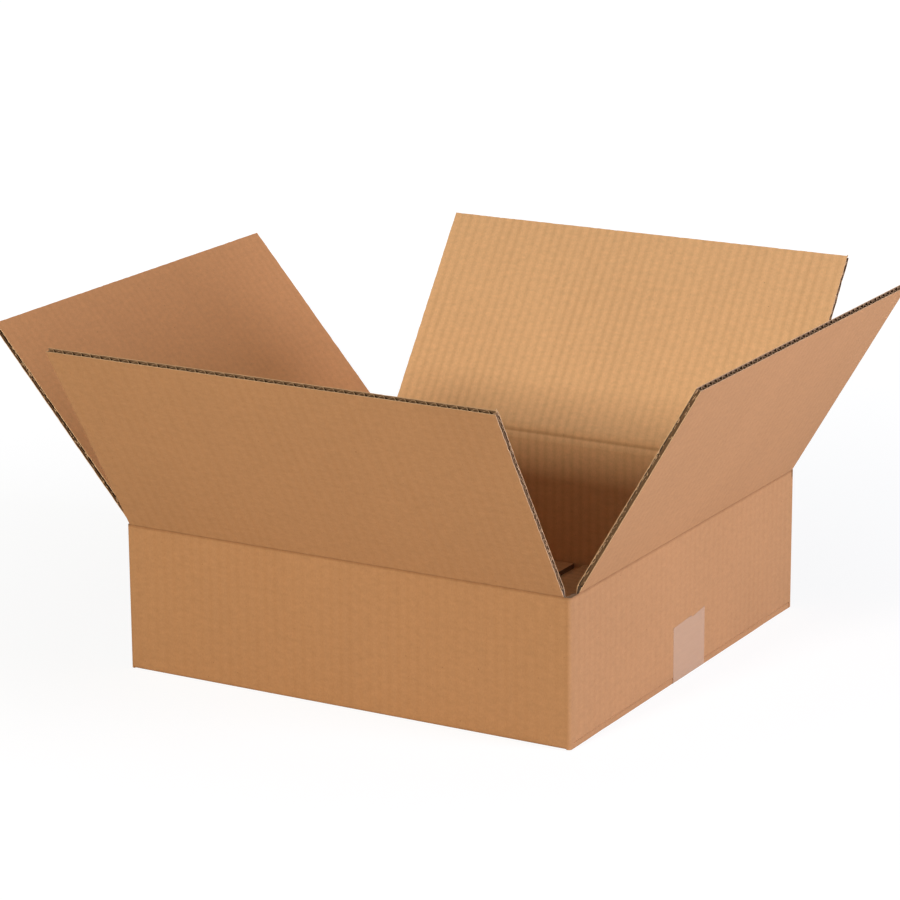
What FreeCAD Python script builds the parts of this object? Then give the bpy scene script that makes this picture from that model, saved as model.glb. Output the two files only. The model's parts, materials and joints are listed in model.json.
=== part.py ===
"""Shallow square shipping carton of C-flute board, stood up with its four top flaps open.

The carton is one folded sheet: four walls, a taped bottom of two layers of flaps, and four
top flaps that hinge on scored fold lines. X runs along the front wall, Y from the front wall
to the back one, and Z up from the surface that the carton stands on. Sizes are in millimetres.
"""
import FreeCAD, Part
import Sketcher
import os

# The driving dimensions, each with its meaning
SIZES = [
    ("width", 363.6, "outside, from the left wall to the right wall"),
    ("depth", 363.6, "outside, from the front wall to the back wall"),
    ("fold_height", 109.6, "the surface to the fold lines of the top flaps"),
    ("board", 4.0, "thickness of the corrugated board"),
    ("fold_radius", 3.0, "outer radius of a folded edge"),
    ("fold_arm", 5.6, "fold line to the end of the crushed board beside it"),
    ("score_depth", 0.6, "depth of the groove scored along a fold line"),
    ("score_side", 1.6, "fold line to either side of that groove"),
    ("front_open", 32.2, "lean of the front flap from upright, in degrees"),
    ("back_open", 36.3, "lean of the back flap from upright, in degrees"),
    ("left_open", 41.0, "lean of the left flap from upright, in degrees"),
    ("right_open", 30.4, "lean of the right flap from upright, in degrees"),
    ("front_low", 3.1, "left wall's face to the front flap"),
    ("front_high", 5.2, "front flap to the right wall's face"),
    ("back_low", 11.1, "left wall's face to the back flap"),
    ("back_high", 4.4, "back flap to the right wall's face"),
    ("left_low", 4.5, "front wall's face to the left flap"),
    ("left_high", 6.8, "left flap to the back wall's face"),
    ("right_low", 12.1, "front wall's face to the right flap"),
    ("right_high", 4.5, "right flap to the back wall's face"),
    ("bottom_slot", 5.0, "a wall's face to the bottom flap that ends beside it"),
    ("seam", 0.6, "gap between the free edges of two outer flaps that are closed"),
    ("tab_width", 34.0, "reach of the glued tab of the maker's joint"),
    ("tab_board", 3.0, "thickness of that tab, pressed by the glue joint"),
    ("tab_bevel", 9.0, "rise of the tab's slanted ends"),
    ("tab_clear", 3.0, "tab to the bottom flaps below it and the fold above it"),
    ("tape_width", 50.8, "clear tape along the bottom seam"),
    ("tape_film", 0.2, "thickness of the tape with its adhesive"),
    ("tape_rise", 45.0, "height of the tape's ends on the left and right walls"),
    ("tape_aside", 2.2, "the bottom seam to the middle of the tape, towards the back"),
    ("tape_turn", 5.5, "height where the tape slants in under the bottom"),
    ("flute_pitch", 7.82, "one flute of the board to the next"),
    ("liner", 0.4, "thickness of a liner sheet"),
    ("side_web", 0.5, "least board beside the first and the last channel"),
    ("channel_wide", 5.2, "width of a channel at the liner that closes it"),
    ("channel_narrow", 1.7, "width of a channel at the other liner"),
]

doc = FreeCAD.newDocument("carton")
sheet = doc.addObject("Spreadsheet::Sheet", "dims")
for row, (alias, number, meaning) in enumerate(SIZES, start=1):
    sheet.set(f"A{row}", str(number))
    sheet.setAlias(f"A{row}", alias)
doc.recompute()


def new_body(name):
    """An empty body whose label names its node."""
    body = doc.addObject("PartDesign::Body", name)
    body.Label = name
    return body


def origin_feature(body, role):
    """One of the body's own origin planes or axes."""
    return next(f for f in body.Origin.OriginFeatures if f.Role == role)


def new_sketch(body, name, plane, loops, offset="0"):
    """A sketch on one of the body's origin planes, with every corner tied to the sheet."""
    sketch = body.newObject("Sketcher::SketchObject", name)
    sketch.AttachmentSupport = [(origin_feature(body, plane), "")]
    sketch.MapMode = "FlatFace"
    sketch.setExpression("AttachmentOffset.Base.z", offset)
    for corners in loops:
        add_loop(sketch, corners)
    return sketch


def add_loop(sketch, corners):
    """Close a loop of straight edges through corners given as (across, up) expressions."""
    first, count = sketch.GeometryCount, len(corners)
    # A rough ring to start from: the constraints below move its corners to their places
    rough = [FreeCAD.Vector(sheet.width, 0, 0) for corner in corners]
    for number in range(count):
        turn = FreeCAD.Rotation(FreeCAD.Vector(0, 0, 1), 360 * number / count)
        rough[number] = turn.multVec(rough[number])
    for number in range(count):
        sketch.addGeometry(Part.LineSegment(rough[number], rough[(number + 1) % count]), False)
    for number, (across, up) in enumerate(corners):
        edge, following = first + number, first + (number + 1) % count
        sketch.addConstraint(Sketcher.Constraint("Coincident", edge, 2, following, 1))
        tie(sketch, "DistanceX", edge, rough[number].x, across)
        tie(sketch, "DistanceY", edge, rough[number].y, up)


def tie(sketch, kind, edge, start, expression):
    """Hold an edge's first end at an expression's distance from the sketch's origin."""
    index = sketch.addConstraint(Sketcher.Constraint(kind, -1, 1, edge, 1, start))
    sketch.setExpression(f"Constraints[{index}]", expression)


def rectangle(left, right, low, high):
    """Corners of a rectangle, from the expressions of its four sides."""
    return [(left, low), (right, low), (right, high), (left, high)]


def add_pad(body, name, sketch, length, both_ways=False):
    """Add the sketch's area to the body, drawn out by length."""
    pad = body.newObject("PartDesign::Pad", name)
    pad.Profile = sketch
    pad.Midplane = both_ways
    pad.setExpression("Length", length)
    doc.recompute()
    return pad


def cut_pocket(body, name, sketch, length):
    """Cut the sketch's area out of the body, half of length to each side of the sketch."""
    before = body.Shape.Volume
    pocket = body.newObject("PartDesign::Pocket", name)
    pocket.Profile = sketch
    pocket.Midplane = True
    pocket.setExpression("Length", length)
    doc.recompute()
    if body.Shape.Volume >= before:
        raise RuntimeError(f"{name} cuts nothing")
    return pocket


def round_edges(body, name, belongs):
    """Round the body's straight edges that pass the test, to the radius of a folded edge."""
    base = body.Tip
    names = []
    for number, edge in enumerate(base.Shape.Edges, start=1):
        if edge.Curve.TypeId == "Part::GeomLine" and belongs(edge.BoundBox):
            names.append(f"Edge{number}")
    fillet = body.newObject("PartDesign::Fillet", name)
    fillet.Base = (base, names)
    fillet.setExpression("Radius", "dims.fold_radius")
    doc.recompute()
    return fillet


# Each top flap: the axis that its fold line runs along, the way it leans out along the other
# axis, and whether it is an outer flap, which closes over the two inner ones
FLAPS = {
    "front": ("X", -1, True),
    "back": ("X", 1, True),
    "left": ("Y", -1, False),
    "right": ("Y", 1, False),
}


# By the usual rule every flap is half as long as the carton's shorter side, so that the outer
# flaps meet. This is from the fold line to the free edge, on the outer face.
FLAP_REACH = "(min(dims.width; dims.depth) / 2 - dims.board - dims.seam / 2)"


def wall_face(side):
    """Distance from the carton's middle to the wall's outer face."""
    return "dims.depth / 2" if FLAPS[side][0] == "X" else "dims.width / 2"


def flap_span(side):
    """Where a flap starts and ends along its fold line."""
    half = "dims.width / 2" if FLAPS[side][0] == "X" else "dims.depth / 2"
    return f"(dims.{side}_low - {half})", f"({half} - dims.{side}_high)"


def hinge_inset(side):
    """Depth of the hinge line inside the wall's outer face.

    An outer flap turns about a line inside the board, so that it closes on top of the inner
    flaps, and an inner flap about the outer face itself, so that it closes level with the fold.
    """
    return f"(dims.board / (1 + tan(dims.{side}_open / 2)))" if FLAPS[side][2] else "0"


def hinge_rise(side):
    """Height of the hinge line above the fold line."""
    return f"(dims.board - {hinge_inset(side)})" if FLAPS[side][2] else "0"


def tape_section():
    """The tape seen from the front: up the left wall, under the bottom and up the right one."""
    outer = [("dims.width / 2", "dims.tape_rise"),
             ("dims.width / 2", "dims.tape_turn"),
             ("dims.width / 2 - dims.bottom_slot", "0")]
    inner = [("dims.width / 2 - dims.tape_film", "dims.tape_rise"),
             ("dims.width / 2 - dims.tape_film", "dims.tape_turn + dims.tape_film / 2"),
             ("dims.width / 2 - dims.bottom_slot - dims.tape_film / 2", "dims.tape_film")]
    mirrored = [[(f"-({across})", up) for across, up in side] for side in (outer, inner)]
    return outer + mirrored[0][::-1] + mirrored[1] + inner[::-1]


def make_box_body():
    """The four walls and the folded bottom, with a notch in each wall for its top fold."""
    body = new_body("box_body")
    half_width, half_depth = "dims.width / 2", "dims.depth / 2"

    outside = rectangle(f"-{half_width}", half_width, f"-{half_depth}", half_depth)
    inside = rectangle(f"dims.board - {half_width}", f"{half_width} - dims.board",
                       f"dims.board - {half_depth}", f"{half_depth} - dims.board")
    walls = new_sketch(body, "wall_plan", "XY_Plane", [outside, inside], "dims.board")
    add_pad(body, "walls", walls, "dims.fold_height - dims.board")
    round_edges(body, "corner_folds", lambda box: box.ZLength > 1
                and abs(box.XMin) > sheet.width / 2 - 1 and abs(box.YMin) > sheet.depth / 2 - 1)

    # The inner bottom flaps fold in from the left and right walls and lie on the outer ones
    side_reach = f"{half_depth} - dims.bottom_slot"
    inner_flaps = [
        rectangle(f"dims.fold_radius - {half_width}", f"{FLAP_REACH} - {half_width}",
                  f"-({side_reach})", side_reach),
        rectangle(f"{half_width} - {FLAP_REACH}", f"{half_width} - dims.fold_radius",
                  f"-({side_reach})", side_reach),
    ]
    plan = new_sketch(body, "inner_flap_plan", "XY_Plane", inner_flaps, "dims.board")
    add_pad(body, "inner_bottom_flaps", plan, "dims.board")

    # The outer bottom flaps fold in from the front and back walls and meet at the taped seam
    end_reach = f"{half_width} - dims.bottom_slot"
    free_edge = f"({half_depth} - dims.board - {FLAP_REACH})"
    outer_flaps = [
        rectangle(f"-({end_reach})", end_reach, f"-{half_depth}", f"-{free_edge}"),
        rectangle(f"-({end_reach})", end_reach, free_edge, half_depth),
    ]
    plan = new_sketch(body, "outer_flap_plan", "XY_Plane", outer_flaps)
    add_pad(body, "outer_bottom_flaps", plan, "dims.board")
    round_edges(body, "outer_bottom_folds", lambda box: box.ZMax < 0.01
                and box.XLength > 1 and abs(box.YMin) > sheet.depth / 2 - 1)
    round_edges(body, "inner_bottom_folds", lambda box: abs(box.ZMax - sheet.board) < 0.01
                and box.YLength > 1 and abs(box.XMin) > sheet.width / 2 - 1)

    # The tab of the maker's joint, glued inside the back wall at the left corner
    tab_root, tab_end = f"dims.board - {half_width}", f"dims.board + dims.tab_width - {half_width}"
    tab_low = "2 * dims.board + dims.tab_clear"
    tab_high = "dims.fold_height - dims.fold_arm - dims.tab_clear"
    tab_shape = [(tab_root, tab_low), (tab_end, f"{tab_low} + dims.tab_bevel"),
                 (tab_end, f"{tab_high} - dims.tab_bevel"), (tab_root, tab_high)]
    tab = new_sketch(body, "tab_shape", "XZ_Plane", [tab_shape],
                     f"dims.board + dims.tab_board / 2 - {half_depth}")
    add_pad(body, "glue_tab", tab, "dims.tab_board", both_ways=True)

    for side, (along, lean, is_outer) in FLAPS.items():
        start, end = flap_span(side)
        notch = rectangle(start, end, "dims.fold_height - dims.fold_arm",
                          "dims.fold_height + dims.fold_arm")
        plane = "XZ_Plane" if along == "X" else "YZ_Plane"
        # The XZ plane faces the front, so its offset counts the other way
        way = -lean if along == "X" else lean
        notch_sketch = new_sketch(body, f"{side}_notch_shape", plane, [notch],
                                  f"{way} * {wall_face(side)}")
        cut_pocket(body, f"{side}_notch", notch_sketch, "2 * dims.board")

    seat = new_sketch(body, "tape_seat_shape", "XZ_Plane", [tape_section()], "-dims.tape_aside")
    cut_pocket(body, "tape_seat", seat, "dims.tape_width")
    return body


def make_tape():
    """One strip of clear tape over the bottom seam, pressed flush with the board."""
    body = new_body("bottom_tape")
    section = new_sketch(body, "tape_shape", "XZ_Plane", [tape_section()], "-dims.tape_aside")
    add_pad(body, "tape_strip", section, "dims.tape_width", both_ways=True)
    return body


def make_fold(side):
    """The crushed, scored board between a wall and its top flap, bent as the flap stands."""
    along, lean, is_outer = FLAPS[side]
    body = new_body(f"{side}_fold")
    angle = f"dims.{side}_open"
    # Corners as (out from the wall's face, up from the fold line), round the bent strip
    corners = [
        ("0", "-dims.fold_arm"),
        ("0", "-dims.score_side"),
        (f"-dims.score_depth * cos({angle} / 2)", f"dims.score_depth * sin({angle} / 2)"),
        (f"dims.score_side * sin({angle})", f"dims.score_side * cos({angle})"),
        (f"dims.fold_arm * sin({angle})", f"dims.fold_arm * cos({angle})"),
        (f"dims.fold_arm * sin({angle}) - dims.board * cos({angle})",
         f"dims.fold_arm * cos({angle}) + dims.board * sin({angle})"),
        ("-dims.board", f"dims.board * tan({angle} / 2)"),
        ("-dims.board", "-dims.fold_arm"),
    ]
    face = wall_face(side)
    section = [(f"{lean} * ({face} + ({out}))", f"dims.fold_height + ({up})") for out, up in corners]
    plane = "YZ_Plane" if along == "X" else "XZ_Plane"
    # The strip is drawn out both ways from the middle of its flap
    way = 1 if along == "X" else -1
    start, end = flap_span(side)
    sketch = new_sketch(body, f"{side}_fold_section", plane, [section],
                        f"{way} * ({start} + {end}) / 2")
    add_pad(body, f"{side}_fold_strip", sketch, f"{end} - {start}", both_ways=True)
    return body


def make_flap(side):
    """A top flap with the true section of its board: two liners and the fluted sheet between.

    It is drawn upright with the hinge line through its origin, and then leans out in place.
    """
    along, lean, is_outer = FLAPS[side]
    body = new_body(f"{side}_flap")
    start, end = flap_span(side)
    outer_face = f"({lean} * {hinge_inset(side)})"
    inner_face = f"({lean} * ({hinge_inset(side)} - dims.board))"
    outer_liner = f"({outer_face} - {lean} * dims.liner)"
    inner_liner = f"({inner_face} + {lean} * dims.liner)"

    def plan(corners):
        """Corners given as (along the fold line, through the board), as the sketch needs them."""
        return corners if along == "X" else [(through, run) for run, through in corners]

    foot = f"dims.fold_arm + {hinge_rise(side)}"
    plate = new_sketch(body, f"{side}_flap_plan", "XY_Plane",
                       [plan(rectangle(start, end, outer_face, inner_face))], foot)
    add_pad(body, f"{side}_flap_sheet", plate, f"{FLAP_REACH} - dims.fold_arm")

    # Two neighbouring channels, one closed by each liner, and then a row of such pairs: as
    # many as the flap is wide enough for, with what is left over shared by its two sides
    span = f"({end} - {start})"
    pairs = f"floor(({span} - 2 * dims.side_web - dims.channel_wide) / dims.flute_pitch + 0.5)"
    row_width = f"(dims.channel_wide + ({pairs} - 0.5) * dims.flute_pitch)"
    first = f"({start} + ({span} - {row_width}) / 2 + dims.channel_wide / 2)"
    second = f"({first} + dims.flute_pitch / 2)"

    def channel(middle, wide_at, narrow_at):
        wide, narrow = "dims.channel_wide / 2", "dims.channel_narrow / 2"
        return plan([(f"{middle} - {wide}", wide_at), (f"{middle} + {wide}", wide_at),
                     (f"{middle} + {narrow}", narrow_at), (f"{middle} - {narrow}", narrow_at)])

    pair = new_sketch(body, f"{side}_channel_shape", "XY_Plane",
                      [channel(first, outer_liner, inner_liner),
                       channel(second, inner_liner, outer_liner)], foot)
    channels = cut_pocket(body, f"{side}_channels", pair, f"2 * {FLAP_REACH}")
    row = body.newObject("PartDesign::LinearPattern", f"{side}_channel_row")
    row.Originals = [channels]
    row.Direction = (origin_feature(body, f"{along}_Axis"), [""])
    row.setExpression("Length", f"({pairs} - 1) * dims.flute_pitch")
    row.setExpression("Occurrences", pairs)
    body.Tip = row

    # Leaning out is a turn about X towards the front, or about Y towards the right
    axis = FreeCAD.Vector(-lean, 0, 0) if along == "X" else FreeCAD.Vector(0, lean, 0)
    body.Placement = FreeCAD.Placement(FreeCAD.Vector(), FreeCAD.Rotation(axis, 1))
    body.setExpression("Placement.Rotation.Angle", f"dims.{side}_open * 1 deg")
    across = "y" if along == "X" else "x"
    body.setExpression(f"Placement.Base.{across}",
                       f"{lean} * ({wall_face(side)} - {hinge_inset(side)})")
    body.setExpression("Placement.Base.z", f"dims.fold_height + {hinge_rise(side)}")
    doc.recompute()
    return body


pieces = [make_box_body(), make_tape()]
pieces += [make_fold(side) for side in FLAPS]
pieces += [make_flap(side) for side in FLAPS]
doc.recompute()

for item in doc.Objects:
    if "Invalid" in item.State or "Error" in item.State:
        raise RuntimeError(f"{item.Name} failed: {item.State}")
os.makedirs("parts", exist_ok=True)
for piece in pieces:
    if piece.Shape.isNull() or not piece.Shape.isValid():
        raise RuntimeError(f"{piece.Label} has no valid shape")
for piece in pieces:
    piece.Shape.exportStep(f"parts/{piece.Label}.step")
    box = piece.Shape.BoundBox
    print(f"{piece.Label}: {piece.Shape.Volume / 1000:.1f} cm3, {len(piece.Shape.Solids)} solid,"
          f" x {box.XMin:.1f} to {box.XMax:.1f}, y {box.YMin:.1f} to {box.YMax:.1f},"
          f" z {box.ZMin:.1f} to {box.ZMax:.1f}")
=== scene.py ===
"""Dresses the shallow shipping carton: kraft liners, open flutes, scored folds and clear tape.

The board is built as the sheet that it is. Every patch carries its place on the flat blank as
its UV map, in metres: U runs round the four walls, and V from the bottom seam up over the top
fold to the free edge of a flap. The flutes run along V, so one pattern crosses the folds.
"""
import bmesh
import bpy
import json
import math
import random
from functools import cache
from bpy.props import FloatProperty, FloatVectorProperty, IntProperty, PointerProperty
from mathutils import Matrix, Vector, noise


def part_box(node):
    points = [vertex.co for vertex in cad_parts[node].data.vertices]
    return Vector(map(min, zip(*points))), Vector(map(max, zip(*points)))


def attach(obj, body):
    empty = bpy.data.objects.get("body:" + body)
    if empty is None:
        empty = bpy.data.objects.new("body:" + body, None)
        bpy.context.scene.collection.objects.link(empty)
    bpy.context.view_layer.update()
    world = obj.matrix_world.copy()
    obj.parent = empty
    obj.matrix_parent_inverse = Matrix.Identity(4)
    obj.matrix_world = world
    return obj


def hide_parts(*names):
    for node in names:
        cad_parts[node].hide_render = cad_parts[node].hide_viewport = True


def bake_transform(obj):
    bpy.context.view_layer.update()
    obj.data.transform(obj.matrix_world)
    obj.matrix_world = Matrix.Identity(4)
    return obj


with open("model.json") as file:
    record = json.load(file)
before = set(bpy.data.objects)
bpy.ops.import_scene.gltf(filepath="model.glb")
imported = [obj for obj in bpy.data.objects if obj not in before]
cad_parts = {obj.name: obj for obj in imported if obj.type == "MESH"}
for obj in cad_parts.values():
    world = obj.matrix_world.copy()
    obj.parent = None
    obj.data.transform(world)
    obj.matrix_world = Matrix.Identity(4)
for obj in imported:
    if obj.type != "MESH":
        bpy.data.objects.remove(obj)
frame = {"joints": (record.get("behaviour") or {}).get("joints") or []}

bl_info = {
    "name": "Shipping Carton",
    "version": (1, 0, 0),
    "blender": (4, 5, 0),
    "location": "View3D > Sidebar > Carton",
    "description": "Corrugated board, folds and tape of an open shipping carton",
    "category": "Object",
}

MM = 0.001
SIDES = ("front", "right", "back", "left")
# Each wall's direction along U, seen from outside with its top upwards
ALONG = {"front": Vector((1, 0, 0)), "right": Vector((0, 1, 0)),
         "back": Vector((-1, 0, 0)), "left": Vector((0, -1, 0))}
UP = Vector((0, 0, 1))
# Spacing of the mesh's points
WALL_COLUMN, WALL_ROW, POST_ROW = 9 * MM, 12 * MM, 2 * MM
BOTTOM_ROW, LINER_ROW, LINER_COLUMN = 22 * MM, 3.5 * MM, 3 * MM
FOLD_COLUMN, TAPE_ROW, TAPE_COLUMN = 4 * MM, 30 * MM, 0.8 * MM
BEND_STEPS, FOLD_STEPS = 8, 12
# Points of the fluted sheet along one flute's wave, and its rows
FLUTE_POINTS, FLUTE_ROWS = 14, 10
# Spacing on the glued tab, as shares of its height and width
TAB_ROW, TAB_COLUMN = 0.1, 0.125
# Rows of a bottom flap's section where it starts to widen, and over which it does so
FLARE_START, FLARE_ROWS = 3, 6
# Points closer than this are one point, and lengths closer than the second are the same
MERGE, SAME = 1e-6, 1e-7
# Gives each liner of a flap an unevenness of its own
DEPTH_SEED = 900


def metres(name, default, description):
    """A length that a user can change, shown with enough digits for paper."""
    return FloatProperty(name=name, description=description, default=default, unit="LENGTH", precision=5)


def colour_value(name, default, description):
    """A colour that a user can change."""
    return FloatVectorProperty(name=name, description=description, default=default, subtype="COLOR")


class CartonSizes(bpy.types.PropertyGroup):
    """Sizes of the board and its details that the frame doesn't give."""
    board: metres("Board", 4.0 * MM, "Thickness of the corrugated board")
    liner: metres("Liner", 0.45 * MM, "Thickness of one liner sheet")
    medium: metres("Fluted paper", 0.25 * MM, "Thickness of the fluted sheet")
    pitch: metres("Flute pitch", 7.82 * MM, "One flute to the next")
    radius: metres("Fold radius", 3.0 * MM, "Outer radius of a folded edge")
    arm: metres("Fold arm", 5.6 * MM, "Crushed board beside a top fold line")
    inner_slot: metres("Inner slot", 5.0 * MM, "A wall's face to the side of an inner bottom flap")
    outer_slot: metres("Outer slot", 3.0 * MM, "A wall's face to the side of an outer bottom flap")
    post_foot: metres("Corner foot", 0.4 * MM, "Height where a corner ends at its slot")
    score: metres("Score", 0.55 * MM, "Depth of the groove pressed along a fold")
    crush: FloatProperty(name="Crush", default=0.45,
                         description="Share of its thickness that the board loses at a fold line")
    crush_width: metres("Crush width", 2.8 * MM, "How far the crushed strip spreads")
    bend_reach: metres("Bend reach", 1.8 * MM, "Half of the strip that bends when a flap turns")
    ragged: metres("Ragged edge", 0.35 * MM, "Unevenness of a cut edge")
    flare: metres("Flare", 2.6 * MM, "An outer bottom flap's widening past its bend")
    inner_bend: metres("Inner bend", 1.2 * MM, "Outer radius of an inner bottom flap's bend")
    crumbs: IntProperty(name="Crumbs", description="Torn bits of paper along one slot-cut side",
                        default=90)
    crumb_long: metres("Crumb length", 3.0 * MM, "Length of the longest bit")
    fold_zone: metres("Fold zone", 2.2 * MM, "Half width of a top fold's rounded bend")
    groove: metres("Groove", 0.8 * MM, "Half width of the groove pressed along a fold")
    fold_sag: metres("Fold sag", 0.25 * MM, "How far a fold line wanders downwards")
    flute_inset: metres("Flute inset", 0.5 * MM, "How far the fluted sheet ends inside the liners")
    flute_wander: metres("Flute wander", 1.6 * MM, "Unevenness of the flutes' spacing")
    tab_thick: metres("Tab thickness", 3.0 * MM, "Pressed board of the glued tab")
    tab_width: metres("Tab width", 34 * MM, "Corner to the glued tab's edge")
    tab_bevel: metres("Tab bevel", 9 * MM, "Height of the glued tab's slanting ends")
    tab_gap: metres("Tab gap", 3 * MM, "The glued tab's clearance from the folds")
    tape_film: metres("Tape", 0.12 * MM, "Thickness of the tape")
    tape_teeth: metres("Tape teeth", 0.5 * MM, "Depth of the teeth of the torn end")
    tape_slant: metres("Tape slant", 2.6 * MM, "Rise of the torn end across the tape")
    tape_step: metres("Tape step", 1.6 * MM, "Drop in the torn end past its middle")
    tape_step_share: FloatProperty(name="Tape step's place", default=0.42,
                                   description="Share of the tape's width beyond that step")


class CartonColours(bpy.types.PropertyGroup):
    """Colours of the papers and the tape, as they are lit evenly; the fluting, the hollow and the left
    flap's inner liner hold painted shade.
    """
    outside: colour_value("Outer liner", (0.414, 0.203, 0.081), "Kraft paper on the outside")
    inside: colour_value("Inner liner", (0.82, 0.475, 0.222), "Kraft paper on the inside")
    # Painted shade: a darker, redder copy of the inner liner, for the left flap alone
    inside_painted_shade: colour_value("Left flap's inner liner", (0.67, 0.312, 0.120),
                               "Redder kraft paper inside the left flap")
    # Painted shade: the fluted sheet's paper is darkened to stand for the shade between the liners
    fluting_shaded: colour_value("Fluting", (0.20, 0.105, 0.045), "Paper of the fluted sheet")
    edge: colour_value("Cut edge", (0.60, 0.37, 0.19), "Edges where the board is cut")
    hollow: colour_value("Hollow", (0.055, 0.028, 0.012), "Shade inside the open flutes")
    tape: colour_value("Tape", (0.667, 0.425, 0.254), "Milky film of the tape")


class StudioSettings(bpy.types.PropertyGroup):
    """The camera, lights and floor."""
    turn: FloatProperty(name="Turn", description="Camera's turn from the front wall to the right",
                        default=math.radians(29.817), subtype="ANGLE")
    drop: FloatProperty(name="Look down", description="Camera's angle below the horizon",
                        default=math.radians(15.607), subtype="ANGLE")
    roll: FloatProperty(name="Roll", description="Camera's tilt about its own view",
                        default=math.radians(-0.376), subtype="ANGLE")
    distance: metres("Distance", 2.6591, "Camera to the point that it looks at")
    aside: metres("Aside", -0.01348, "Shift of that point to the right of the picture")
    aim_height: metres("Aim height", 0.14522, "Height of that point")
    lens: FloatProperty(name="Lens", description="Focal length in millimetres", default=143.8)
    sky: FloatProperty(name="Sky", description="Strength of the even light all round", default=0.05)
    front_power: FloatProperty(name="Front light", description="Power of the lamp in front, in watts",
                               default=80.0)
    left_power: FloatProperty(name="Left light", description="Power of the lamp on the left",
                              default=7.0)
    right_power: FloatProperty(name="Right light", description="Power of the low lamp on the right",
                               default=68.0)
    upper_power: FloatProperty(name="Upper light", default=18.0,
                               description="Power of the higher lamp on the right")
    floor_tone: FloatProperty(name="Floor", description="Paleness of the floor", default=0.92)
    floor_white: FloatProperty(name="Floor's white", default=0.82,
                               description="Share of the floor that is seen as plain white")
    near_white: FloatProperty(name="Near white", description="Strength of that white by the carton",
                              default=1.08)
    far_white: FloatProperty(name="Far white", description="Strength of that white farther off",
                             default=1.25)
    warm: colour_value("Warm light", (1.0, 0.97, 0.90), "Colour of the front and left lamps")
    cool: colour_value("Cool light", (0.74, 0.785, 1.0), "Colour of the lamps on the right")


# Places read from the frame

@cache
def wall_half(side):
    """Half of the carton's outside size across the wall's own direction."""
    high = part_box("box_body")[1]
    return high.y if side in ("front", "back") else high.x


@cache
def run_half(side):
    """Half of the wall's own length."""
    return wall_half("right") if side in ("front", "back") else wall_half("front")


@cache
def fold_height():
    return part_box("box_body")[1].z


@cache
def lean(side):
    """A flap's lean from upright, from the closed end of its joint's range."""
    joint = next(j for j in frame["joints"] if j["child"] == f"{side}_flap")
    return math.radians(-joint["range_deg"][0] - 90)


@cache
def flap_span(side):
    """Where a flap starts and ends, measured along its wall from the middle."""
    along = ALONG[side]
    ends = sorted(corner.dot(along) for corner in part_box(f"{side}_flap"))
    return ends[0], ends[1]


@cache
def flap_reach(side, board):
    """Fold line to free edge on the outer face, from the height of the flap's top."""
    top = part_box(f"{side}_flap")[1].z
    return (top - fold_height() - board * math.sin(lean(side))) / math.cos(lean(side))


@cache
def wall_start(side):
    """U where a wall's middle lies on the unrolled blank."""
    place = 0
    for name in SIDES:
        if name == side:
            return place + run_half(name)
        place += 2 * run_half(name)


def sheet_top(board):
    """V at the top fold line: the bottom flap's reach and the wall's height."""
    return wall_half("front") - board + fold_height()


@cache
def girth():
    """The length of all four walls on the unrolled blank."""
    return 2 * sum(run_half(side) for side in SIDES)


def wall_point(side, run, out, height):
    """A point by its place along a wall, outwards from the wall's face, and up."""
    outward = ALONG[side].cross(UP)
    return ALONG[side] * run + outward * (wall_half(side) + out) + UP * height


def steps(low, high, spacing, extra=()):
    """Evenly spaced numbers from low to high, with the extra ones that lie between."""
    count = max(1, round((high - low) / spacing))
    found = [low + (high - low) * n / count for n in range(count + 1)]
    for value in extra:
        if low < value < high:
            found = [f for f in found if abs(f - value) > spacing * 0.3 or f in (low, high)]
            found.append(value)
    return sorted(set(found))


def wobble(place, across, size):
    """A small repeatable unevenness along an edge."""
    spot = Vector((place * 420, across * 37 + 5.2, 0.7))
    return size * (noise.noise(spot) + 0.6 * noise.noise(spot * 3.1))


# Board as mesh patches

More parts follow.
